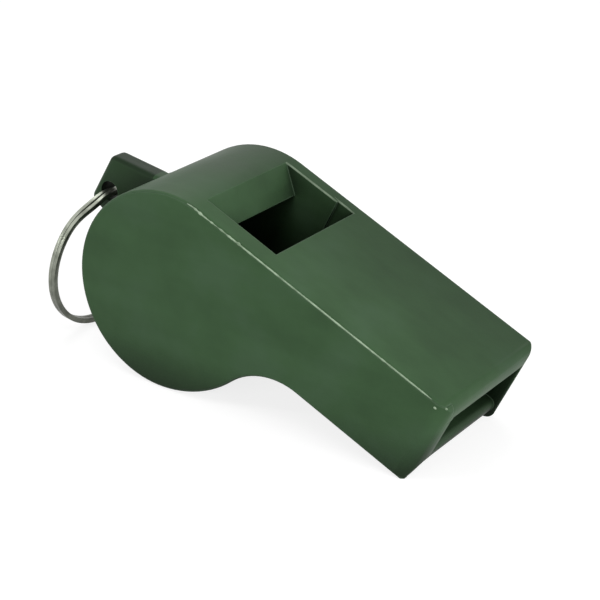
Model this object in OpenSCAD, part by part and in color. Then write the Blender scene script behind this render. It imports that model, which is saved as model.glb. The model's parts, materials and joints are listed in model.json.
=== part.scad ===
// Pea whistle moulded in plastic, with a split ring through its lug. Sizes are in millimetres.
// It is drawn with the barrel's axis on Y, the mouthpiece along +X and its flat top up. The side faces
// are the planes at plus and minus half of body_w: the near one is the welded cover, the far one the body.
// rest() then lays it on its barrel and on the lip of the mouthpiece, as it lies on a table at z = 0.

/* [Barrel] */
// Outer radius of the barrel
barrel_r = 11; // [10.6:0.1:12.5]
// Wall between the outside of the barrel and the pea chamber
barrel_wall = 2.6; // [2:0.1:2.8]
// Width over the two side faces
body_w = 18.8; // [17:0.1:22]
// Far side wall of the chamber
far_wall = 1.85; // [1.2:0.05:2.2]
// Rounding of the rims of the two side faces
edge_r = 0.4; // [0.2:0.05:0.7]

/* [Mouthpiece] */
// Barrel axis to the end of the mouthpiece
mouth_reach = 32.6; // [29:0.1:38]
// Height of the mouthpiece, from its underside to its flat top
mouth_h = 10.25; // [9.6:0.05:10.8]
// Radius of the hollow under the neck, between the barrel and the mouthpiece
neck_r = 7.7; // [5:0.1:10]
// Radius of the barrel's underside where it swells into the neck
swell_r = 13.4; // [12.6:0.1:16]
// Angle below the mouthpiece's direction at which that swell leaves the barrel's circle
swell_from = 66; // [60:1:80]
// Rounding of the upper and lower corners at the end of the mouthpiece
lip_r = 1.3; // [0.8:0.1:1.6]
// Rounding of the upright corners at the end of the mouthpiece
front_r = 1.8; // [0.4:0.1:2]
// Top plate over the windway
top_wall = 2.3; // [1.8:0.1:2.6]
// Floor plate at the lip
floor_wall = 1.6; // [1.2:0.1:2]
// Depth of the recess in the underside, between the two side walls
recess_h = 0.9; // [0.4:0.1:1.2]
// Set-back of the floor plate's round nose behind the end of the mouthpiece
nose_back = 0.45; // [0.3:0.05:1.2]
// Rounding of the upright inner edges of the mouth
flare_r = 0.3; // [0.2:0.1:0.4]
// Length of the level floor behind the lip, before it climbs to the slot
level_floor = 6; // [4:0.5:10]

/* [Window and windway] */
// Barrel axis to the front edge of the window, where the air jet leaves the slot
window_front = 8.5; // [8.2:0.1:9.4]
// Barrel axis to the sharp lip of the ramp
ramp_lip_x = 1.6; // [1:0.1:2.2]
// Drop of the ramp's lip below the flat top
ramp_lip_drop = 2.7; // [2.4:0.1:2.9]
// Run of the ramp along the whistle, from its crease on the barrel to its lip
ramp_run = 2.55; // [1.5:0.05:3.5]
// Height of the slot that the air leaves by
slot_h = 1.5; // [1.1:0.1:2]
// Length of the level slot, from its mouth at the chamber
slot_run = 5; // [3:0.5:7]
// Overhang of the window's front edge past the wall under the slot
slot_overhang = 1; // [0.5:0.1:1.4]
// Start of the shallow step in the far wall, from the barrel axis
step_x = 6.3; // [5:0.1:7]
// Depth of that step
step_h = 0.3; // [0.1:0.05:0.5]
// Wall left between the coring pocket and the spaces round it
core_wall = 1.6; // [1.2:0.1:1.8]

/* [Side cover] */
// Thickness of the cover plate
cover_t = 1.6; // [1.2:0.1:2]
// Height of the boss on its inner face, which enters the chamber and the windway
boss_h = 0.9; // [0.5:0.05:1.2]
// Thin lip of the body left standing round the plate
rebate_lip = 0.2; // [0.2:0.05:0.5]
// Set-back of the plate's lower corner at the mouth, where its end leans back
cover_slant = 0.7; // [0.4:0.1:0.9]
// Height over the mouthpiece's underside at which that lean starts
slant_h = 3; // [2.4:0.1:4]
// Clearance round the plate and the boss
cover_fit = 0.05; // [0.02:0.01:0.1]
// Width of the bead that the weld leaves along the plate's top edge
bead_w = 0.2; // [0.15:0.05:0.4]
// Height of that bead over the side face
bead_h = 0.12; // [0.05:0.01:0.2]
// Angle round the barrel at which the bead starts, from the mouthpiece's direction, in degrees
bead_from = 99; // [95:1:150]

/* [Lug] */
// Barrel surface to the axis of the lug's hole
hole_reach = 3.7; // [3.6:0.1:5]
// Drop of that hole below the barrel's axis
hole_fall = 0.45; // [0:0.05:1]
// Radius of the lug's hole
hole_r = 1.15; // [1.1:0.05:1.4]
// Thickness of the lug
lug_t = 2.4; // [1.4:0.1:2.6]
// Rounding of the lug's two outer corners, in side view
lug_corner_r = 0.9; // [0.8:0.1:1.4]
// Height of the centre of the lug's upper corner over the hole
lug_rise = 3.2; // [2.4:0.1:3.4]
// Depth of the centre of the lug's lower corner under the hole
lug_fall = 1.6; // [1.2:0.1:2.4]
// Distance of the upper corner's centre behind the hole
lug_back = 0.7; // [0.5:0.05:1.2]
// Lean of the lug's back edge, in degrees, which brings its lower end further back
lug_lean = 4; // [0:1:8]
// Climb of the lug's top edge towards the barrel, in degrees
lug_climb = 14; // [10:1:18]
// Fall of the lug's lower edge towards the barrel, in degrees
lug_droop = 13; // [8:1:18]

/* [Split ring] */
// Outer diameter of the ring
ring_d = 16.1; // [14:0.05:18]
// Radial width of the flat wire
wire_w = 0.6; // [0.5:0.05:0.7]
// Thickness of the wire along the ring's axis
wire_t = 0.38; // [0.36:0.01:0.42]
// Gap between the two turns
turn_gap = 0.41; // [0.41:0.01:0.45]
// Turn of the ring about the upright, in its loose hole, in degrees
ring_yaw = -5; // [-8:1:0]
// Roll of the ring in its own plane, away from hanging straight down, in degrees
ring_roll = -8; // [-10:1:0]

/* [Pea] */
// Diameter of the pea
pea_d = 9; // [8.6:0.1:9.4]
// Gap between the pea and the chamber's wall
pea_gap = 0.1; // [0.05:0.05:0.3]

/* [Hidden] */
$fn = 96;
over = 0.6;

// Heights and stations of the profile, with the barrel's axis at the origin
chamber_r = barrel_r - barrel_wall;
under_z = barrel_r - mouth_h;
plate_z = barrel_r - top_wall;
floor_z = under_z + recess_h + floor_wall;
nose_share = 0.45;
top_round_share = 0.2;
slot_z = plate_z - slot_h;
nose_x = mouth_reach - nose_back;
nose_r = floor_wall*nose_share;
throat_x = window_front - slot_overhang;
slot_end_x = throat_x + slot_run;
taper_x = mouth_reach - level_floor;
swell_c = -(swell_r - barrel_r)*[cos(swell_from), -sin(swell_from)];
neck_z = under_z - neck_r;
neck_c = [swell_c[0] + sqrt((swell_r + neck_r)^2 - (neck_z - swell_c[1])^2), neck_z];
ramp_lip = [ramp_lip_x, barrel_r - ramp_lip_drop];
crease_x = ramp_lip_x - ramp_run;
crease = [crease_x, sqrt(barrel_r^2 - crease_x^2)];

// Planes across the width
near_y = -body_w/2;
far_y = body_w/2;
seat_y = near_y + cover_t;
near_in_y = seat_y + boss_h;
far_in_y = far_y - far_wall;
pea_y = (near_in_y + far_in_y)/2;

// Corners of the lug, and the places inside the barrel wall that its two arms run to
hole = [-(barrel_r + hole_reach), -hole_fall];
lug_top = hole + [-lug_back, lug_rise];
lug_low = hole + [-lug_back - (lug_rise + lug_fall)*tan(lug_lean), -lug_fall];
root_r = barrel_r - lug_corner_r;
function inward(p, d) = p - (p*d + sqrt((p*d)^2 - p*p + root_r^2))*d;
root_top = inward(lug_top, [cos(lug_climb), sin(lug_climb)]);
root_low = inward(lug_low, [cos(lug_droop), -sin(lug_droop)]);

// Tilt at rest: the table touches the barrel and the round lower corner of the mouthpiece
lip_c = [mouth_reach - lip_r, under_z + lip_r];
tilt = asin((barrel_r - lip_r)/norm(lip_c)) + atan2(lip_c[1], lip_c[0]);
function laid(p) = [p[0]*cos(tilt) + p[1]*sin(tilt), 0, barrel_r - p[0]*sin(tilt) + p[1]*cos(tilt)];

// The ring hangs in the lower side of the lug's hole and leans back until it meets the table
ring_r = ring_d/2 - wire_w/2;
ring_h = 2*wire_t + turn_gap;
ring_seat_gap = 0.075;
wire_sag = ring_r - sqrt(ring_r^2 - (lug_t/2)^2);
wire_slope = lug_t/2*tan(abs(ring_roll));
wire_slew = lug_t/2*tan(abs(ring_yaw));
wire_side = ring_h/2 + wire_slew;
ring_drop = sqrt((hole_r - ring_seat_gap)^2 - wire_side^2) - wire_w/2 - wire_sag - wire_slope;
ring_fall = (ring_drop + ring_r)*cos(ring_roll);
ring_foot = ring_fall + ring_d/2;
table_gap = 0.05;
ring_hang = laid(hole)[2] - table_gap;
free_lean = acos(min(1, ring_hang/norm([ring_foot, ring_h/2])));
ring_lean = ring_foot > ring_hang ? free_lean + atan(ring_h/2/ring_foot) : 0;

// The wire makes two turns less a short crossing, where it steps from the first turn to the second
wire_pitch = wire_t + turn_gap;
wire_chamfer = 0.1;
crossing = 40;
end_clear = 4;
wire_steps = 66;
wire_from = crossing/2 + end_clear;
wire_to = 720 - wire_from;
function eased(t) = t < 0 ? 0 : t > 1 ? 1 : t*t*(3 - 2*t);
function wire_axial(a) = wire_pitch*(eased((a - 360)/crossing + 0.5) - 0.5);
wire_corners = [for (q = [[1, 1], [-1, 1], [-1, -1], [1, -1]])
    each let (same = q[0] == q[1]) [corner_point(q, !same), corner_point(q, same)]];
function corner_point(q, flat) = [
    q[0]*(wire_t/2 - (flat ? wire_chamfer : 0)),
    q[1]*(wire_w/2 - (flat ? 0 : wire_chamfer))];
function wire_point(a, c) = [wire_axial(a) + c[0], (ring_r + c[1])*cos(a), (ring_r + c[1])*sin(a)];
function wire_angle(i) = wire_from + (wire_to - wire_from)*i/wire_steps;
wire_sides = len(wire_corners);
wire_points = [for (i = [0:wire_steps]) for (c = wire_corners) wire_point(wire_angle(i), c)];
function wire_faces(p, c) = let (d = (c + 1)%wire_sides, q = p + wire_sides)
    [[p + c, p + d, q + d], [p + c, q + d, q + c]];
half_turn = round(wire_steps/4);
echo(least_gap_between_turns = min([
    for (i = [0:wire_steps - half_turn]) for (j = [i + half_turn:wire_steps])
        for (m = [0:wire_sides - 1]) for (n = [0:wire_sides - 1])
            norm(wire_points[i*wire_sides + m] - wire_points[j*wire_sides + n])]));

// Middle of the whole length at rest, ring included, so that the origin lies under the middle
x_front = laid([mouth_reach - lip_r, barrel_r - lip_r])[0] + lip_r;
ring_sweep = norm([sin(ring_yaw), sin(ring_lean)*cos(ring_yaw)]);
x_ring = laid(hole)[0] - ring_fall*sin(ring_lean)*cos(ring_yaw);
x_back = x_ring - ring_d/2*ring_sweep - ring_h/2;
origin_x = -(x_front + x_back)/2;
echo(tilt = tilt, ring_lean = ring_lean, ring_drop = ring_drop, origin_x = origin_x);
echo(x_front = x_front, x_back = x_back, hole_laid = laid(hole), neck_c = neck_c);

// A plate of a profile drawn in side view, between two planes across the width
module slab(y0, y1) {
    translate([0, y1, 0]) rotate([90, 0, 0]) linear_extrude(y1 - y0) children();
}

// Lays the whistle on the table
module rest() {
    translate([origin_x, 0, barrel_r]) rotate([0, tilt, 0]) children();
}

// Rectangle from corner a to corner b with round corners
module round_rect(a, b, r) {
    translate([a[0] + r, a[1]]) square([b[0] - a[0] - 2*r, b[1] - a[1]]);
    translate([a[0], a[1] + r]) square([b[0] - a[0], b[1] - a[1] - 2*r]);
    for (x = [a[0] + r, b[0] - r]) for (y = [a[1] + r, b[1] - r]) translate([x, y]) circle(r=r);
}

// Profile of the whole whistle in side view, drawn in by inset, open at the front when open is true
module outline(inset=0, open=false) {
    circle(r=barrel_r - inset);
    intersection() {
        translate(swell_c) circle(r=swell_r - inset);
        swell_sector();
    }
    difference() {
        union() {
            if (open) translate([0, under_z + inset]) square([mouth_reach + over, mouth_h - 2*inset]);
            else round_rect([0, under_z + inset], [mouth_reach - inset, barrel_r - inset], lip_r - inset);
            translate([0, under_z + inset]) square([mouth_reach/2, mouth_h - 2*inset]);
            neck_web();
        }
        translate(neck_c) circle(r=neck_r + inset);
    }
}

// Sector of the side view in which the swell replaces the barrel's circle, up to the line of centres
module swell_sector() {
    polygon([swell_c, swell_c + 2*swell_r*[cos(swell_from), -sin(swell_from)], neck_c]);
}

// Web of the side view between the swell, the hollow and the mouthpiece
module neck_web() {
    polygon([swell_c, neck_c, [neck_c[0], under_z + mouth_h/2], [0, under_z + mouth_h/2]]);
}

// Round disc over the whole width with rounded rims
module disc(r) {
    rotate([90, 0, 0]) rotate_extrude() intersection() {
        round_rect([-r, near_y], [r, far_y], edge_r);
        translate([0, near_y]) square([r, body_w]);
    }
}

// Outer form of the whistle without its lug: barrel disc, swell, neck and mouthpiece, all rims rounded
module blank() {
    difference() {
        disc(barrel_r);
        slab(near_y - over, far_y + over) swell_sector();
    }
    intersection() {
        translate([swell_c[0], 0, swell_c[1]]) disc(swell_r);
        slab(near_y - over, far_y + over) swell_sector();
    }
    difference() {
        union() {
            mouthpiece();
            slab(near_y, far_y) neck_web();
        }
        translate([neck_c[0], 0, neck_c[1]]) rotate([90, 0, 0]) rotate_extrude() difference() {
            translate([0, near_y - over]) square([neck_r + edge_r, body_w + 2*over]);
            round_rect([neck_r, near_y], [neck_r + 3*edge_r, far_y], edge_r);
        }
    }
}

// Block of the mouthpiece, rounded in side view, from above and from the front
module mouthpiece() {
    intersection() {
        slab(near_y, far_y) {
            round_rect([0, under_z], [mouth_reach, barrel_r], lip_r);
            translate([0, under_z]) square([mouth_reach/2, mouth_h]);
        }
        translate([0, 0, under_z]) linear_extrude(mouth_h) {
            round_rect([0, near_y], [mouth_reach, far_y], front_r);
            translate([0, near_y]) square([mouth_reach/2, body_w]);
        }
        rotate([90, 0, 90]) linear_extrude(mouth_reach)
            round_rect([near_y, under_z], [far_y, barrel_r], edge_r);
    }
}

// Round cut at an outer corner that has its material below and behind it
module corner_cut(r) {
    difference() {
        translate([-r, -r]) square([2*r + over, 2*r]);
        translate([-r, -r]) circle(r=r);
    }
}

// Inner space in side view: pea chamber, throat under the window, slot and mouth
module inner_space(inset=0) {
    circle(r=chamber_r - inset);
    polygon([
        [ramp_lip_x + inset, 0], [ramp_lip_x + inset, plate_z - inset],
        [mouth_reach + over, plate_z - inset], [mouth_reach + over, floor_z + inset],
        [taper_x, floor_z + inset], [slot_end_x, slot_z + inset],
        [throat_x - inset, slot_z + inset], [throat_x - inset, 0]]);
}

// Window in side view, with the ramp behind it
module window() {
    start = crease + over*(crease - ramp_lip)/norm(crease - ramp_lip);
    polygon([
        start, ramp_lip, [ramp_lip_x, 0], [throat_x, 0], [throat_x, slot_z],
        [window_front, slot_z], [window_front, barrel_r + over]]);
}

// What is cut away below the windway at the mouth, round the nose of the floor plate, in side view
module nose_gap() {
    difference() {
        translate([nose_x - nose_r, under_z - over])
            square([nose_r + nose_back + over, floor_z - under_z + 2*over]);
        round_rect([nose_x - 4*nose_r, under_z + recess_h], [nose_x, floor_z], nose_r);
    }
}

// Upright cuts that round the inner edges of the mouth
module mouth_flare() {
    translate([0, 0, under_z - over]) linear_extrude(plate_z - under_z + over) {
        translate([mouth_reach, near_in_y]) corner_cut(flare_r);
        translate([mouth_reach, far_in_y + step_h]) mirror([0, 1]) corner_cut(flare_r);
    }
}

// Recess in the underside in side view
module recess() {
    polygon([
        [neck_c[0], under_z], [neck_c[0] + recess_h, under_z + recess_h],
        [mouth_reach + over, under_z + recess_h], [mouth_reach + over, under_z - over],
        [neck_c[0], under_z - over]]);
}

// Coring pocket in side view, which keeps the plastic under the windway floor even in thickness
module core_pocket() {
    low_z = under_z + recess_h + core_wall;
    share = (slot_z - core_wall - low_z)/(slot_z - floor_z);
    difference() {
        polygon([
            [throat_x + core_wall, under_z - neck_r], [throat_x + core_wall, slot_z - core_wall],
            [slot_end_x, slot_z - core_wall], [slot_end_x + share*(taper_x - slot_end_x), low_z],
            [neck_c[0], low_z], [neck_c[0], neck_c[1]]]);
        circle(r=chamber_r + core_wall);
        translate(neck_c) circle(r=neck_r + core_wall);
    }
}

// Straight arm with round ends between two points in side view
module arm(a, b) {
    run = b - a;
    side = lug_corner_r*[-run[1], run[0]]/norm(run);
    polygon([a + side, b + side, b - side, a - side]);
    translate(a) circle(r=lug_corner_r);
    translate(b) circle(r=lug_corner_r);
}

// Lug in side view
module lug() {
    arm(lug_top, lug_low);
    arm(lug_top, root_top);
    arm(lug_low, root_low);
    polygon([lug_top, root_top, root_low, lug_low]);
}

// Body: barrel, far wall, top plate, ramp, windway, mouthpiece and lug in one moulding
module body_shell() {
    color([0.25, 0.33, 0.23]) rest() difference() {
        union() {
            blank();
            slab(-lug_t/2, lug_t/2) lug();
        }
        slab(seat_y - over, far_in_y) inner_space();
        slab(near_in_y, far_in_y) window();
        slab(seat_y - over, far_in_y + step_h) {
            recess();
            nose_gap();
        }
        slab(near_in_y, far_in_y + step_h)
            translate([mouth_reach, plate_z]) mirror([0, 1]) corner_cut(top_wall*top_round_share);
        mouth_flare();
        slab(far_in_y - over, far_in_y + step_h) intersection() {
            union() {
                inner_space();
                window();
            }
            translate([step_x, floor_z]) square([mouth_reach, barrel_r]);
        }
        slab(near_y - over, seat_y) outline(rebate_lip, open=true);
        slab(seat_y - over, far_in_y) core_pocket();
        slab(-lug_t, lug_t) translate(hole) circle(r=hole_r);
    }
}

// Stretch of the side view that holds the bead: over the barrel and along the flat top
module bead_reach() {
    end_x = mouth_reach - front_r;
    polygon([[0, 0], 2*barrel_r*[cos(bead_from), sin(bead_from)], [end_x, 2*barrel_r], [end_x, 0]]);
}

// What the end of the cover loses at its lower corner, in side view
module slant_cut() {
    polygon([
        [mouth_reach - cover_slant, under_z], [mouth_reach, under_z + slant_h],
        [mouth_reach + over, under_z + slant_h], [mouth_reach + over, under_z - over],
        [mouth_reach - cover_slant, under_z - over]]);
}

// Cover: plate in the rebate, boss in the inner space, and the weld's bead along the rim
module side_cover() {
    color([0.28, 0.36, 0.26]) rest() {
        difference() {
            intersection() {
                blank();
                union() {
                    slab(near_y - over, seat_y) outline(rebate_lip + cover_fit, open=true);
                    slab(seat_y - over, near_in_y) inner_space(cover_fit);
                }
            }
            mouth_flare();
            slab(near_y - over, near_in_y + over) slant_cut();
        }
        slab(near_y - bead_h, near_y + cover_t/2) intersection() {
            difference() {
                outline(rebate_lip + cover_fit, open=true);
                outline(rebate_lip + cover_fit + bead_w, open=true);
            }
            bead_reach();
        }
    }
}

// Pea: a ball that lies at the bottom of the chamber
module pea() {
    color([0.66, 0.5, 0.33])
        translate([origin_x, pea_y, barrel_r - (chamber_r - pea_d/2 - pea_gap)]) sphere(d=pea_d);
}

// Ring: two turns of one flat wire, through the lug's hole
module split_ring() {
    last = wire_steps*wire_sides;
    color([0.62, 0.63, 0.6])
        translate([origin_x, 0, 0] + laid(hole))
        rotate([ring_roll, ring_lean, ring_yaw])
        translate([0, 0, -(ring_drop + ring_r)])
        polyhedron(points=wire_points, faces=concat(
            [[for (c = [wire_sides - 1:-1:0]) c]],
            [for (i = [0:wire_steps - 1]) for (c = [0:wire_sides - 1]) each wire_faces(i*wire_sides, c)],
            [[for (c = [0:wire_sides - 1]) last + c]]));
}

body_shell();
side_cover();
pea();
split_ring();
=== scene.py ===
import json
import math

import bmesh
import bpy
from mathutils import Euler, Matrix, Vector, noise


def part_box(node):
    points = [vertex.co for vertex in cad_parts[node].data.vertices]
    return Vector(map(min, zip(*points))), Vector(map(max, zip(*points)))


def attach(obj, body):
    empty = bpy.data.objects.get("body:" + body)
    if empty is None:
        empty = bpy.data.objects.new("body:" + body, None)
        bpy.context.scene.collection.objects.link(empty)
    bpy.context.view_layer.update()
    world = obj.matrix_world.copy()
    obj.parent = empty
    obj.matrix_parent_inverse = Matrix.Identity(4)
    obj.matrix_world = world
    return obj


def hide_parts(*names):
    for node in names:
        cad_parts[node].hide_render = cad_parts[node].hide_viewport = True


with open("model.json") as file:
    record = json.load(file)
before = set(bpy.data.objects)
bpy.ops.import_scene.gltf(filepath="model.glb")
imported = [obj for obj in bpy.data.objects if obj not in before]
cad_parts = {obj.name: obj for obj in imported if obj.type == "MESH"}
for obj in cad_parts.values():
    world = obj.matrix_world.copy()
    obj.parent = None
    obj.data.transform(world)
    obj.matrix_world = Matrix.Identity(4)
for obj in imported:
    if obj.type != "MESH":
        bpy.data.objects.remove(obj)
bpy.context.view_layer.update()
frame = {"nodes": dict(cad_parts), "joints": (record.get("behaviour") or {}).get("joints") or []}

# Resting place. The whistle is drawn with its barrel's axis on Y and its flat top up, and lies tilted on the
# barrel and on the lip of its mouthpiece. Its joints stand on the barrel's axis and in the lug's hole, so
# the line between them gives the tilt, and the height of the axis over the table is the barrel's radius.
barrel_axis = Vector(next(j["pos_m"] for j in frame["joints"] if j["name"] == "pea_orbit"))
lug_hole = Vector(next(j["pos_m"] for j in frame["joints"] if j["name"] == "ring_swing"))
BARREL = barrel_axis.z

# How far the lug's hole is drawn behind the barrel's round, and below the barrel's axis
HOLE_REACH = 0.0037
HOLE_FALL = 0.00045
hole_drawn = Vector((-(BARREL + HOLE_REACH), 0, -HOLE_FALL))
hole_laid = lug_hole - barrel_axis
tilt = math.atan2(hole_drawn.z, hole_drawn.x) - math.atan2(hole_laid.z, hole_laid.x)
lay = Matrix.Translation(barrel_axis) @ Matrix.Rotation(tilt, 4, "Y")

# Camera. It stands where the photograph was taken from, which the whistle's straight edges and circles give:
# above the near side, turned so that the mouthpiece points down to the right. Its place and its turn, in
# degrees, are those that it has beside the drawn whistle.
CAMERA_PLACE = (0.066807, -0.151983, 0.115392)
CAMERA_TURN = (52.2282, -21.8752, 36.4689)
FILM_WIDTH = 36
LENS = 112.865
NEAREST_SEEN = 0.01


def turned_by(degrees):
    """Matrix of three turns in degrees, about X, Y and Z in that order."""
    return Euler([math.radians(angle) for angle in degrees]).to_matrix().to_4x4()


camera_data = bpy.data.cameras.new("camera")
camera_data.sensor_width = FILM_WIDTH
camera_data.lens = LENS
camera_data.clip_start = NEAREST_SEEN
camera = bpy.data.objects.new("camera", camera_data)
camera.matrix_world = lay @ Matrix.Translation(CAMERA_PLACE) @ turned_by(CAMERA_TURN)
bpy.context.scene.collection.objects.link(camera)
bpy.context.scene.camera = camera
bpy.context.scene.view_settings.view_transform = "Standard"

# Floor. The photograph has a plain white ground, so a wide sheet of paper lies just under the whistle and
# carries its soft shadow. The paper is grey to the light and white to the camera.
FLOOR_HALF = 0.9
FLOOR_GAP = 0.00005
PAPER_GREY = 0.36
PAPER_LIFT = 0.80


def grey(level):
    """Plain grey of a level from 0 to 1, as a colour."""
    return (level, level, level, 1)


def add_node(tree, kind, inputs, **settings):
    """Shader node with its settings, whose inputs are plain values or the outputs that feed them."""
    made = tree.nodes.new("ShaderNode" + kind)
    for setting, value in settings.items():
        setattr(made, setting, value)
    for socket, value in inputs.items():
        if isinstance(value, bpy.types.NodeSocket):
            tree.links.new(value, made.inputs[socket])
        else:
            made.inputs[socket].default_value = value
    return made


def product(tree, one, two):
    """Product of two numbers."""
    return add_node(tree, "Math", {0: one, 1: two}, operation="MULTIPLY").outputs[0]


def larger(tree, one, two):
    """The larger of two numbers."""
    return add_node(tree, "Math", {0: one, 1: two}, operation="MAXIMUM").outputs[0]


def seen_by(tree, *rays):
    """1 for the named kinds of ray, and 0 for all others."""
    path = add_node(tree, "LightPath", {})
    seen = path.outputs[rays[0]]
    for ray in rays[1:]:
        seen = larger(tree, seen, path.outputs[ray])
    return seen


def white_paper():
    """Paper that the camera and reflections see as white, with the shadow still on it."""
    material = bpy.data.materials.new("white_paper")
    material.use_nodes = True
    tree = material.node_tree
    tree.nodes.clear()
    paper = add_node(tree, "BsdfDiffuse", {"Color": grey(PAPER_GREY)})
    seen = seen_by(tree, "Is Camera Ray", "Is Glossy Ray", "Is Transmission Ray")
    lift = add_node(tree, "Emission", {"Strength": product(tree, seen, PAPER_LIFT)})
    both = add_node(tree, "AddShader", {0: paper.outputs[0], 1: lift.outputs[0]})
    add_node(tree, "OutputMaterial", {"Surface": both.outputs[0]})
    return material


corners = [(x*FLOOR_HALF, y*FLOOR_HALF, 0) for x, y in ((-1, -1), (1, -1), (1, 1), (-1, 1))]
floor_mesh = bpy.data.meshes.new("floor")
floor_mesh.from_pydata(corners, [], [(0, 1, 2, 3)])
floor_mesh.materials.append(white_paper())
floor = bpy.data.objects.new("floor", floor_mesh)
floor.location.z = -FLOOR_GAP
bpy.context.scene.collection.objects.link(floor)

# Light. A pale room lights the whistle from all round, and looks white to the camera and in reflections.
# Broad lamps stand behind it, low in front and before the mouth. Two small ones light the bead and the ring.
ROOM_LIGHT = 0.32
ROOM_MIRRORED = 0.95
WHISTLE_MIDDLE = (0.0, 0.0, 0.008)
BEAD_MIDDLE = (0.005, -0.01, 0.015)
RING_TOP = (-0.024, -0.008, 0.012)


def rescaled(tree, value, source=(0, 1), target=(0, 1)):
    """Value brought from one range to another, and held inside it."""
    ranges = {"From Min": source[0], "From Max": source[1], "To Min": target[0], "To Max": target[1]}
    return add_node(tree, "MapRange", {"Value": value, **ranges}).outputs[0]


def pale_room():
    """World with a pale light of its own, which looks white."""
    world = bpy.data.worlds.new("pale_room")
    world.use_nodes = True
    tree = world.node_tree
    mirrored = seen_by(tree, "Is Glossy Ray", "Is Transmission Ray")
    level = rescaled(tree, mirrored, target=(ROOM_LIGHT, ROOM_MIRRORED))
    background = tree.nodes["Background"]
    background.inputs["Color"].default_value = grey(1)
    tree.links.new(larger(tree, level, seen_by(tree, "Is Camera Ray")), background.inputs["Strength"])
    return world


def soft_lamp(name, place, size, power, aim=WHISTLE_MIDDLE):
    """Square lamp of a width in metres and a power in watts, turned towards a place on the whistle."""
    data = bpy.data.lights.new(name, "AREA")
    data.size = size
    data.energy = power
    lamp = bpy.data.objects.new(name, data)
    lamp.location = place
    lamp.rotation_euler = (Vector(aim) - Vector(place)).to_track_quat("-Z", "Y").to_euler()
    bpy.context.scene.collection.objects.link(lamp)


bpy.context.scene.world = pale_room()
soft_lamp("lamp_behind", place=(-0.30, 0.30, 0.42), size=0.30, power=0.66)
soft_lamp("lamp_low", place=(0.05, -0.60, 0.12), size=0.40, power=1.95)
soft_lamp("lamp_mouth", place=(0.55, 0.00, 0.14), size=0.30, power=2.7)
soft_lamp("lamp_close", place=(0.005, -0.05, 0.078), size=0.03, power=0.012, aim=BEAD_MIDDLE)
soft_lamp("lamp_ring", place=(-0.217, -0.202, 0.136), size=0.02, power=0.08, aim=RING_TOP)


# Body shell. One injection moulding in dark olive green plastic: barrel wall, far side, flat top with the
# sound window and its ramp, windway, mouthpiece and lug. The mould leaves satin grain and faint flow marks.
# Painted shade darkens the hollows, the lug and the far side, and the edges are pale, partly from rubbing
# and partly as painted highlight.
HALF_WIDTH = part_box("body_shell")[1].y
FAR_WALL = 0.00185
STEP_DEEP = 0.0003
WINDOW_BACK = -0.0012
WINDOW_FRONT = 0.0087
WINDOW_RIM = 0.00014
RIM_SHARP = math.radians(60)
LUG_HALF = 0.0012
LUG_FROM = -0.9*BARREL
LUG_ROUND = 0.00060
LUG_ROUND_FACES = 5
HOLE_RADIUS = 0.00115
HOLE_MOUTH = 1.05*HOLE_RADIUS
CREASE = math.radians(32)

# Slack with which points, edges and faces of the solid are found by their place and direction
SAME_POINT = 0.0000001
LEVEL_SLACK = 0.000001
CHEEK_SLACK = 0.000002
ROUND_SLACK = 0.00002
RIM_SLACK = 0.00003
TOP_SLACK = 0.00009
ONE_PLANE = math.radians(0.3)
SQUARE_ON = 0.99

# Colours and finish. A tone is what a colour is multiplied by, and a pair of values is a range.
OLIVE_DARK = (0.036, 0.077, 0.0335)
OLIVE = (0.0415, 0.088, 0.0385)
OLIVE_GREY = (0.048, 0.095, 0.047)
# Pale edge colour: partly rubbed plastic and partly painted edge highlight
RUBBED_AND_LIT_OLIVE = (0.10, 0.17, 0.10, 1)
CLOUD_STOPS = (0.34, 0.5, 0.66)
FLOW_STRETCH = (60, 400, 400)
FLOW_CHANGE = (0.93, 1.07)
MIDDLE_OF_NOISE = (0.3, 0.7)
SOFT_EDGE = 0.00022
SOFT_EDGE_SAMPLES = 6
EDGE_TURNED = (0.995, 0.80)
EDGE_RUBBED_AND_LIT = 0.6
# Painted shade: darker in hollows by occlusion, on the lug and towards the far side, and lighter on the
# barrel's upward faces
SHADE_REACH = 0.008
SHADE_SAMPLES = 8
SHADE_STOPS = ((0.10, grey(0.12)), (0.55, grey(0.32)), (0.88, grey(1)))
FACING_UP_SLOPE = (0.25, 0.55)
LUG_ROOT = (BARREL, BARREL + 0.0006)
LUG_BEHIND = barrel_axis.x - 0.008
LUG_CHEEK_SHADE = 0.64
LUG_TOP_SHADE = 0.36
NEAR_TO_FAR_SHADE = (1.03, 0.64)
OLIVE_ROUGH = (0.40, 0.50)
OLIVE_SPECULAR = 0.10
PALE_DARK = (0.165, 0.24, 0.15)
PALE_LIGHT = (0.31, 0.41, 0.285)
PALE_STOPS = (0.30, 0.62)
PALE_ROUGH = (0.45, 0.60)
PALE_SPECULAR = 0.25
# Tone of the pale plastic that paints a highlight on the window's far rim
RIM_HIGHLIGHT_TONE = 0.50


def new_material(name):
    """Material with its node tree and its shader."""
    material = bpy.data.materials.new(name)
    material.use_nodes = True
    return material, material.node_tree, material.node_tree.nodes["Principled BSDF"]


def place_on_piece(tree):
    """Place of a point of the surface, in metres."""
    return add_node(tree, "TexCoord", {}).outputs["Object"]


def noise_value(tree, place, scale, detail, roughness=0.5):
    """Cloudy value between 0 and 1 that follows a place on the piece."""
    inputs = {"Vector": place, "Scale": scale, "Detail": detail, "Roughness": roughness}
    return add_node(tree, "TexNoise", inputs).outputs["Fac"]


def colour_ramp(tree, value, stops):
    """Colour read from stops, each a value and its colour, from the lowest to the highest."""
    ramp = add_node(tree, "ValToRGB", {"Fac": value})
    for element, (position, colour) in zip(ramp.color_ramp.elements, (stops[0], stops[-1])):
        element.position = position
        element.color = colour
    for position, colour in stops[1:-1]:
        ramp.color_ramp.elements.new(position).color = colour
    return ramp.outputs["Color"]


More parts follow.
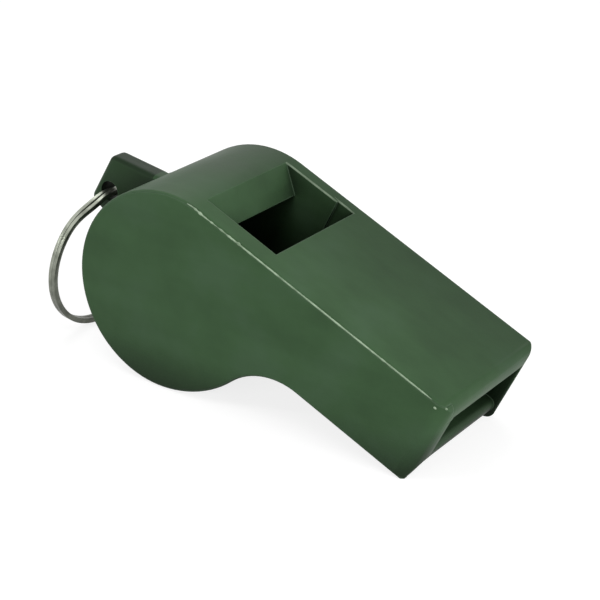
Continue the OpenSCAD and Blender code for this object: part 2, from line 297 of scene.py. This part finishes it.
def scaled(tree, colour, factor):
    """Colour made lighter or darker by a factor."""
    return add_node(tree, "VectorMath", {0: colour, "Scale": factor}, operation="SCALE").outputs[0]


def bumped(tree, height, strength, distance, normal=None):
    """Surface direction over small bumps, laid over another direction where one is given."""
    inputs = {"Height": height, "Strength": strength, "Distance": distance}
    if normal is not None:
        inputs["Normal"] = normal
    return add_node(tree, "Bump", inputs).outputs[0]


def toned(colour, tone):
    """Opaque colour of three numbers times a tone."""
    return [part*tone for part in colour] + [1]


def olive_pigment(tree, place, cloud, tone):
    """Green that clouds from dark to greyish, with streaks along the way that the plastic flowed."""
    greens = [toned(green, tone) for green in (OLIVE_DARK, OLIVE, OLIVE_GREY)]
    clouded = colour_ramp(tree, cloud, list(zip(CLOUD_STOPS, greens)))
    along_flow = add_node(tree, "Mapping", {"Vector": place, "Scale": FLOW_STRETCH}).outputs[0]
    streaks = noise_value(tree, along_flow, scale=1, detail=5)
    return scaled(tree, clouded, rescaled(tree, streaks, MIDDLE_OF_NOISE, FLOW_CHANGE))


def rubbed_and_lit_edges(tree, surface, soft_edge):
    """Share of pale edge colour, partly rubbed plastic and partly painted highlight: where the softened edge
    turns away from the true surface.
    """
    ways = {0: soft_edge, 1: surface.outputs["Normal"]}
    turned = add_node(tree, "VectorMath", ways, operation="DOT_PRODUCT")
    return rescaled(tree, turned.outputs["Value"], EDGE_TURNED, (0, EDGE_RUBBED_AND_LIT))


def lug_shade_tone(tree, place, along, facing_up):
    """Tone of painted shade on the lug, which stands behind the barrel and out of its round, darkest on its
    upward faces. Elsewhere it is 1.
    """
    side_view = add_node(tree, "VectorMath", {0: place, 1: (1, 0, 1)}, operation="MULTIPLY").outputs[0]
    axis = (barrel_axis.x, 0, barrel_axis.z)
    from_axis = add_node(tree, "VectorMath", {0: side_view, 1: axis}, operation="DISTANCE").outputs["Value"]
    behind = add_node(tree, "Math", {0: along, 1: LUG_BEHIND}, operation="LESS_THAN").outputs[0]
    on_lug = product(tree, rescaled(tree, from_axis, LUG_ROOT), behind)
    lug_shade = rescaled(tree, facing_up, target=(LUG_CHEEK_SHADE, LUG_TOP_SHADE))
    return rescaled(tree, on_lug, target=(1, lug_shade))


def painted_shade_tone(tree, place, surface):
    """Tone of painted shade, which is dark in hollows, on the lug and at the far side, and lifted off the
    barrel's upward faces.
    """
    part = add_node(tree, "SeparateXYZ", {0: place})
    facing = add_node(tree, "SeparateXYZ", {0: surface.outputs["Normal"]})
    around = add_node(tree, "AmbientOcclusion", {"Distance": SHADE_REACH}, samples=SHADE_SAMPLES)
    facing_up = rescaled(tree, facing.outputs["Z"], FACING_UP_SLOPE)
    on_barrel = add_node(tree, "Math", {0: part.outputs["X"], 1: 0}, operation="LESS_THAN").outputs[0]
    hollow_shade = colour_ramp(tree, around.outputs["AO"], SHADE_STOPS)
    hollow_shade_lifted = larger(tree, hollow_shade, product(tree, facing_up, on_barrel))
    far_side_shade = rescaled(tree, part.outputs["Y"], (-HALF_WIDTH, HALF_WIDTH), NEAR_TO_FAR_SHADE)
    return product(tree, product(tree, hollow_shade_lifted, far_side_shade), lug_shade_tone(tree, place, part.outputs["X"], facing_up))


def olive_plastic(name, tone=1.0):
    """Satin olive plastic: cloudy pigment, painted shade, pale edges that are partly rubbed and partly
    painted highlight, and fine grain over soft waves.
    """
    material, tree, shader = new_material(name)
    place = place_on_piece(tree)
    surface = add_node(tree, "NewGeometry", {})
    soft_edge = add_node(tree, "Bevel", {"Radius": SOFT_EDGE}, samples=SOFT_EDGE_SAMPLES).outputs[0]
    cloud = noise_value(tree, place, scale=130, detail=4, roughness=0.55)
    pigment = olive_pigment(tree, place, cloud, tone)
    # Painted shade darkens the pigment in hollows, on the lug and towards the far side
    shaded_pigment = scaled(tree, pigment, painted_shade_tone(tree, place, surface))
    # Pale edges, partly rubbed plastic and partly painted highlight
    wear_and_highlight = {"Factor": rubbed_and_lit_edges(tree, surface, soft_edge), "A": shaded_pigment, "B": RUBBED_AND_LIT_OLIVE}
    with_painted_light = add_node(tree, "Mix", wear_and_highlight, data_type="RGBA").outputs["Result"]
    waves = noise_value(tree, place, scale=420, detail=2)
    grain = noise_value(tree, place, scale=7000, detail=3)
    wavy = bumped(tree, waves, strength=0.25, distance=0.00012, normal=soft_edge)
    grainy = bumped(tree, grain, strength=0.35, distance=0.00002, normal=wavy)
    tree.links.new(with_painted_light, shader.inputs["Base Color"])
    tree.links.new(grainy, shader.inputs["Normal"])
    tree.links.new(rescaled(tree, cloud, MIDDLE_OF_NOISE, OLIVE_ROUGH), shader.inputs["Roughness"])
    shader.inputs["Specular IOR Level"].default_value = OLIVE_SPECULAR
    return material


def pale_plastic(name, tone=1.0):
    """Pale olive plastic with a fine sparkle: a painted highlight on the window's rim, and on the bead the
    stretched plastic's paler colour together with a painted highlight.
    """
    material, tree, shader = new_material(name)
    place = place_on_piece(tree)
    patches = noise_value(tree, place, scale=900, detail=3)
    pales = [toned(pale, tone) for pale in (PALE_DARK, PALE_LIGHT)]
    patched = colour_ramp(tree, patches, list(zip(PALE_STOPS, pales)))
    tree.links.new(patched, shader.inputs["Base Color"])
    tree.links.new(bumped(tree, patches, strength=0.3, distance=0.00002), shader.inputs["Normal"])
    tree.links.new(rescaled(tree, patches, target=PALE_ROUGH), shader.inputs["Roughness"])
    shader.inputs["Specular IOR Level"].default_value = PALE_SPECULAR
    return material


def off_hole(place):
    """Distance of a drawn point from the axis of the lug's hole."""
    return math.hypot(place.x - hole_drawn.x, place.z - hole_drawn.z)


def off_axis(place):
    """Distance of a drawn point from the barrel's axis."""
    return math.hypot(place.x, place.z)


def drawn_copy(name):
    """Solid of a node as an editable form, back in the place where the whistle is drawn."""
    solid = frame["nodes"][name]
    form = bmesh.new()
    form.from_mesh(solid.data)
    form.transform(lay.inverted() @ solid.matrix_world)
    bmesh.ops.remove_doubles(form, verts=form.verts, dist=SAME_POINT)
    return form


def finished_piece(name, form, crease):
    """Piece made from a form, smooth but for the edges that turn by more than the crease."""
    form.normal_update()
    for face in form.faces:
        face.smooth = True
    for edge in form.edges:
        edge.smooth = len(edge.link_faces) == 2 and edge.calc_face_angle(0) < crease
    mesh = bpy.data.meshes.new(name)
    form.to_mesh(mesh)
    form.free()
    piece = bpy.data.objects.new(name, mesh)
    bpy.context.scene.collection.objects.link(piece)
    return piece


def laid_piece(name, form, crease=CREASE):
    """Piece made from a drawn form, laid on the table."""
    form.transform(lay)
    return finished_piece(name, form, crease)


def on_window_rim(edge):
    """True for an edge of the window's far rim, on either side of its step."""
    one, two = edge.verts[0].co, edge.verts[1].co
    least = HALF_WIDTH - FAR_WALL - RIM_SLACK
    most = HALF_WIDTH - FAR_WALL + STEP_DEEP + RIM_SLACK
    far = least < min(one.y, two.y) and max(one.y, two.y) < most and abs(one.y - two.y) < LEVEL_SLACK
    on_top = min(one.z, two.z) > BARREL - TOP_SLACK and WINDOW_BACK < one.x < WINDOW_FRONT
    return far and on_top and edge.calc_face_angle(0) > RIM_SHARP


def on_cheek(face):
    """True for the flat sides of the lug."""
    middle = face.calc_center_median()
    at_side = abs(abs(middle.y) - LUG_HALF) < CHEEK_SLACK and middle.x < LUG_FROM
    return at_side and abs(face.normal.y) > SQUARE_ON


def out_of_barrel(edge):
    """True for an edge that stands out of the barrel's round."""
    return max(off_axis(vert.co) for vert in edge.verts) > BARREL + ROUND_SLACK


def joined_edges(form):
    """Edges that two faces share, with the form's normals brought up to date."""
    form.normal_update()
    return [edge for edge in form.edges if len(edge.link_faces) == 2]


def paint_window_rim_highlight(form):
    """Break the window's far rim with a narrow facet in the second material, whose pale colour paints a
    highlight along it.
    """
    rim = [edge for edge in joined_edges(form) if on_window_rim(edge)]
    bmesh.ops.bevel(form, geom=rim, offset=WINDOW_RIM, offset_type="OFFSET", segments=1, profile=0.5,
                    affect="EDGES", clamp_overlap=True, material=1)


def round_lug(form):
    """Join the lug's faces that lie in one plane, and round its rims but for the mouths of its hole."""
    seams = [edge for edge in joined_edges(form)
             if max(vert.co.x for vert in edge.verts) < LUG_FROM and out_of_barrel(edge)
             and edge.calc_face_angle(1) < ONE_PLANE]
    bmesh.ops.dissolve_edges(form, edges=seams, use_verts=False, use_face_split=False)
    rims = [edge for edge in joined_edges(form)
            if sum(on_cheek(face) for face in edge.link_faces) == 1 and out_of_barrel(edge)
            and off_hole(edge.verts[0].co) >= HOLE_MOUTH]
    bmesh.ops.bevel(form, geom=rims, offset=LUG_ROUND, offset_type="OFFSET", segments=LUG_ROUND_FACES,
                    profile=0.5, affect="EDGES", clamp_overlap=False)


def moulded_shell():
    """The shell with a painted highlight on its window's far rim and the lug's rims rounded."""
    form = drawn_copy("body_shell")
    paint_window_rim_highlight(form)
    round_lug(form)
    return laid_piece("body_shell_moulding", form)


shell = moulded_shell()
shell.data.materials.append(olive_plastic("shell_plastic"))
# The second material paints a highlight on the window's far rim.
shell.data.materials.append(pale_plastic("rim_highlight_plastic", RIM_HIGHLIGHT_TONE))
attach(shell, "shell")
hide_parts("body_shell")


# Pea. A ball of pressed cork, ground round, with open pits between its grains. It lies at the bottom of the
# barrel's chamber and runs round it in the air stream.
BALL_ROUNDS = 5
COARSE_PITS = (5.5, 0.6)
FINE_PITS = (13, 0.4)
PIT_FROM = 0.18
PIT_DEEP = 0.16
FLATS = (2.2, 0.012)
CORK_BROWN = (0.20, 0.10, 0.045, 1)
CORK_PALE = (0.52, 0.33, 0.17, 1)
PORE_EDGE = (0.36, 0.46)
PORE_TONE = (0.35, 1.0)
CORK_ROUGH = 0.85


def uneven(way, pattern):
    """Smooth change over the ball, by a pattern's pace and its share."""
    pace, share = pattern
    return noise.noise(way*pace)*share


def cork_ball():
    """Pitted ball in the room of the pea's node."""
    low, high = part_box("pea")
    middle = (low + high)/2
    radius = min(high - low)/2
    form = bmesh.new()
    bmesh.ops.create_icosphere(form, subdivisions=BALL_ROUNDS, radius=1)
    for vertex in form.verts:
        out = vertex.co.normalized()
        pit = uneven(out, COARSE_PITS) + uneven(out, FINE_PITS)
        dent = max(0.0, pit - PIT_FROM)*PIT_DEEP + abs(uneven(out, FLATS))
        vertex.co = middle + out*radius*(1 - dent)
    return finished_piece("cork_pea", form, math.pi)


def cork():
    """Pressed cork: pale and brown grains with dark pores."""
    material, tree, shader = new_material("pressed_cork")
    place = place_on_piece(tree)
    grains = add_node(tree, "TexVoronoi", {"Vector": place, "Scale": 900}).outputs["Color"]
    pores = noise_value(tree, place, scale=2600, detail=4)
    brown = colour_ramp(tree, grains, ((0, CORK_BROWN), (1, CORK_PALE)))
    pored = scaled(tree, brown, rescaled(tree, pores, PORE_EDGE, PORE_TONE))
    tree.links.new(pored, shader.inputs["Base Color"])
    tree.links.new(bumped(tree, pores, strength=0.6, distance=0.00008), shader.inputs["Normal"])
    shader.inputs["Roughness"].default_value = CORK_ROUGH
    return material


pea = cork_ball()
pea.data.materials.append(cork())
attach(pea, "pea")
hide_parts("pea")


# Side cover. A second moulding in the same plastic, pressed into the rebate of the body on the near side and
# welded all round, so that its rim and the body's melted together and left only a hairline.
COVER_THICK = 0.0016
SEAM = 0.00005
RIM_UPRIGHT = 0.1
FRONT_FACING = 0.93


def on_cover_rim(face):
    """True for the cover's rim, which stands square to its flat side, but not for its end at the mouth."""
    in_rebate = face.calc_center_median().y < COVER_THICK - HALF_WIDTH
    return in_rebate and abs(face.normal.y) < RIM_UPRIGHT and face.normal.x < FRONT_FACING


def seated_cover():
    """The cover with its rim melted against the rebate, and without the solid's plain bead."""
    form = drawn_copy("side_cover")
    form.normal_update()
    push = {}
    for face in filter(on_cover_rim, form.faces):
        for vert in face.verts:
            push[vert] = push.get(vert, Vector()) + face.normal*face.calc_area()
    for vert, way in push.items():
        way.y = 0
        vert.co += way.normalized()*SEAM
    for vert in form.verts:
        vert.co.y = max(vert.co.y, -HALF_WIDTH)
    return laid_piece("side_cover_moulding", form)


cover = seated_cover()
cover.data.materials.append(olive_plastic("cover_plastic"))
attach(cover, "shell")
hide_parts("side_cover")


# Weld bead. The thin flash that the weld squeezed out along the cover's upper edge, paler than the plastic
# because it was stretched and paler still as a painted highlight. It is ragged where the weld began on the
# barrel and runs straight along the flat top, beside a dark strip of painted groove shade. Drops of plastic
# lie near its start and at the mouth's corner.
BEAD_ANGLE = math.radians(98.7)
BEAD_END = 0.0304
BEAD_STEP = 0.00012
BEAD_TURN = math.radians(40)
BEAD_HALF_TURN = 0.24
SHADE_STRIP_TURN = 0.24
BEAD_HIGH = 0.00009
BEAD_SIDES = 6
BEAD_TAPER = 8
BEAD_CREASE = math.radians(60)
RIM_ROUND = 0.0004
FILM = 0.000001
END_WIDE = 0.3
END_HIGH = 0.2
RAGGED_SHARE = 0.30
LEAST_SIZE = 0.15
STEADY_SIZE = 0.85
WAVE = (0.045, 3.1)
WAVE_SIZE = 1.5
FINE = (0.31, 7.7)
FINE_SIZE = 0.8
FINE_LEAST = 0.3
WANDER = (0.07, 1.3)
WANDER_TURN = 0.22
GROOVE_SHADE_TONE = 0.45

# Drops of plastic on the near side: the place along and up the drawn whistle, and the radius of each
MOUTH_END = 0.0326
FRONT_ROUND = 0.0018
DROP_ROUNDS = 2
WELD_DROPS = ((0.0054, 0.01096, 0.00020), (0.03113, 0.01035, 0.00014), (0.03202, 0.01078, 0.00013))
DROP_FLATTENED = (1.3, 0.6, 0.9, 1)


def bead_path():
    """Places along the barrel's and the flat top's edge in side view, each with the way out of the rim."""
    places = []
    over_barrel = BEAD_ANGLE - math.pi/2
    turns = int(over_barrel*BARREL/BEAD_STEP)
    for count in range(turns):
        angle = BEAD_ANGLE - over_barrel*count/turns
        out = Vector((math.cos(angle), 0, math.sin(angle)))
        places.append((out*(BARREL - RIM_ROUND), out))
    steps = int(BEAD_END/BEAD_STEP)
    for count in range(steps + 1):
        places.append((Vector((BEAD_END*count/steps, 0, BARREL - RIM_ROUND)), Vector((0, 0, 1))))
    return places


def ripple(count, pattern):
    """Smooth change along the bead, from -1 to 1, by a pattern's pace and row of the noise."""
    pace, row = pattern
    return noise.noise(Vector((count*pace, row, 0)))


def bead_section(count, length):
    """Turn round the rim and height over it of each point across the bead, from the shade strip down."""
    rough = max(0.0, 1 - count/(length - 1)/RAGGED_SHARE)
    ends = min(1.0, count/BEAD_TAPER, (length - 1 - count)/BEAD_TAPER)
    ragged = WAVE_SIZE*rough*ripple(count, WAVE) + FINE_SIZE*(FINE_LEAST + rough)*ripple(count, FINE)
    size = max(LEAST_SIZE, STEADY_SIZE + ragged)
    half = BEAD_HALF_TURN*size*(END_WIDE + (1 - END_WIDE)*ends)
    high = BEAD_HIGH*size*(END_HIGH + (1 - END_HIGH)*ends)
    middle = BEAD_TURN + WANDER_TURN*rough*ripple(count, WANDER)
    points = [(middle + half + SHADE_STRIP_TURN, FILM)]
    for side in range(BEAD_SIDES + 1):
        around = math.pi*side/BEAD_SIDES
        points.append((middle + half*math.cos(around), max(high*math.sin(around), FILM)))
    return points


def add_ridge(form):
    """Build the ridge with a flat strip over it in the second, dark material, which paints a groove's shade.
    """
    places = bead_path()
    rows = []
    for count, (place, out) in enumerate(places):
        rows.append([])
        for turn, lift in bead_section(count, len(places)):
            reach = RIM_ROUND + lift
            point = place + out*reach*math.sin(turn)
            point.y = -HALF_WIDTH + RIM_ROUND - reach*math.cos(turn)
            rows[-1].append(form.verts.new(point))
    for first, second in zip(rows, rows[1:]):
        for strip, four in enumerate(zip(first, first[1:], second[1:], second)):
            form.faces.new(four).material_index = 1 if strip == 0 else 0
    bmesh.ops.recalc_face_normals(form, faces=form.faces)
    if sum(face.normal.y for face in form.faces) > 0:
        bmesh.ops.reverse_faces(form, faces=form.faces)


def add_drops(form):
    """Set the drops on the near side, which curves back at the mouth's corner."""
    for x, z, radius in WELD_DROPS:
        past = max(0.0, x - (MOUTH_END - FRONT_ROUND))
        y = -HALF_WIDTH + FRONT_ROUND - math.sqrt(FRONT_ROUND**2 - past**2)
        seat = Matrix.Translation((x, y, z)) @ Matrix.Diagonal(DROP_FLATTENED)
        bmesh.ops.create_icosphere(form, subdivisions=DROP_ROUNDS, radius=radius, matrix=seat)


def weld_bead():
    """Ragged ridge along the cover's upper edge, a dark strip over it that paints a groove's shade, and a
    few drops of plastic.
    """
    form = bmesh.new()
    add_ridge(form)
    add_drops(form)
    return laid_piece("weld_bead", form, BEAD_CREASE)


bead = weld_bead()
# The bead's pale colour is partly its stretched plastic and partly painted highlight; the strip's dark
# colour is painted shade.
bead.data.materials.append(pale_plastic("stretched_and_lit_plastic"))
bead.data.materials.append(olive_plastic("groove_shade_plastic", GROOVE_SHADE_TONE))
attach(bead, "shell")


# Split ring. Two turns of one flat nickel-plated steel wire that lie against each other, bent and sprung a
# little apart at one place by use. It hangs in the lug's hole, rolled and turned as the play allows, with
# the top of the wire's middle line just under the hole's axis, and leans back on the table.
RING_ROLL = -8
RING_LEAN = 4.41734
RING_YAW = -5
RING_DROP = 0.000262229
RING_RADIUS = 0.00775
RING_STEPS = 280
WIRE_WIDE = 0.0006
WIRE_THICK = 0.000455
WIRE_ROUND = 0.00007
WIRE_ROUND_FACES = 3
WIRE_CREASE = math.radians(25)

# The wire's way round. Its angles are in degrees and start at the ring's top.
WIRE_FROM = 24
PITCH = 0.000465
CROSSING = 40
BENT = 0.00025
SPLAYED = 0.00020
BENT_AT = 120
BENT_OVER = 16

STEEL_DARK = (0.12, 0.13, 0.105, 1)
STEEL_LIGHT = (0.235, 0.25, 0.21, 1)
STEEL_STOPS = (0.35, 0.65)
STEEL_ROUGH = (0.30, 0.44)
# Painted reflection: the plate's colour over the ring's height, darker low down and brighter near the top
REFLECTION_HEIGHT = (0.004, 0.014)
REFLECTION_TONE = (0.62, 1.7)


def wire_section():
    """Outline of the flat wire: pairs of places along the ring's axis and outward."""
    points = []
    for side, out in ((1, 1), (-1, 1), (-1, -1), (1, -1)):
        middle = (side*(WIRE_THICK/2 - WIRE_ROUND), out*(WIRE_WIDE/2 - WIRE_ROUND))
        first = math.atan2(0, side) if side == out else math.atan2(out, 0)
        for part in range(WIRE_ROUND_FACES + 1):
            turn = first + math.pi/2*part/WIRE_ROUND_FACES
            points.append((middle[0] + WIRE_ROUND*math.cos(turn), middle[1] + WIRE_ROUND*math.sin(turn)))
    return points


def wire_offset(angle):
    """How far the wire lies off the ring's middle plane at an angle of its two turns."""
    share = min(1.0, max(0.0, (angle - 360)/CROSSING + 0.5))
    bend = math.exp(-((angle % 360 - BENT_AT)/BENT_OVER)**2)
    return PITCH*(share*share*(3 - 2*share) - 0.5) + (BENT + SPLAYED*share)*bend


def wound_ring():
    """Flat wire wound in two turns that all but touch, with one crossing from the first to the second."""
    hang = Matrix.Translation((0, 0, -(RING_DROP + RING_RADIUS)))
    place = Matrix.Translation(lug_hole) @ turned_by((RING_ROLL, RING_LEAN, RING_YAW)) @ hang
    section = wire_section()
    form = bmesh.new()
    rows = []
    for count in range(RING_STEPS + 1):
        angle = WIRE_FROM + (720 - 2*WIRE_FROM)*count/RING_STEPS
        way = math.radians(angle)
        rows.append([])
        for along, out in section:
            reach = RING_RADIUS + out
            point = Vector((wire_offset(angle) + along, reach*math.cos(way), reach*math.sin(way)))
            rows[-1].append(form.verts.new(place @ point))
    for first, second in zip(rows, rows[1:]):
        for four in zip(first, first[1:] + first[:1], second[1:] + second[:1], second):
            form.faces.new(four)
    form.faces.new(rows[0][::-1])
    form.faces.new(rows[-1])
    bmesh.ops.recalc_face_normals(form, faces=form.faces)
    return finished_piece("wound_ring", form, WIRE_CREASE)


def nickel_steel():
    """Dulled nickel plate with grime in patches, and painted reflection: brighter towards the top of the
    ring and darker towards the bottom.
    """
    material, tree, shader = new_material("nickel_steel")
    place = place_on_piece(tree)
    height = add_node(tree, "SeparateXYZ", {0: place}).outputs["Z"]
    grime = noise_value(tree, place, scale=700, detail=3)
    plate = colour_ramp(tree, grime, list(zip(STEEL_STOPS, (STEEL_DARK, STEEL_LIGHT))))
    # Painted reflection: brighter towards the top of the ring, darker towards the bottom
    with_painted_light = scaled(tree, plate, rescaled(tree, height, REFLECTION_HEIGHT, REFLECTION_TONE))
    tree.links.new(with_painted_light, shader.inputs["Base Color"])
    tree.links.new(rescaled(tree, grime, target=STEEL_ROUGH), shader.inputs["Roughness"])
    shader.inputs["Metallic"].default_value = 1.0
    return material


ring = wound_ring()
ring.data.materials.append(nickel_steel())
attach(ring, "ring")
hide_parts("split_ring")
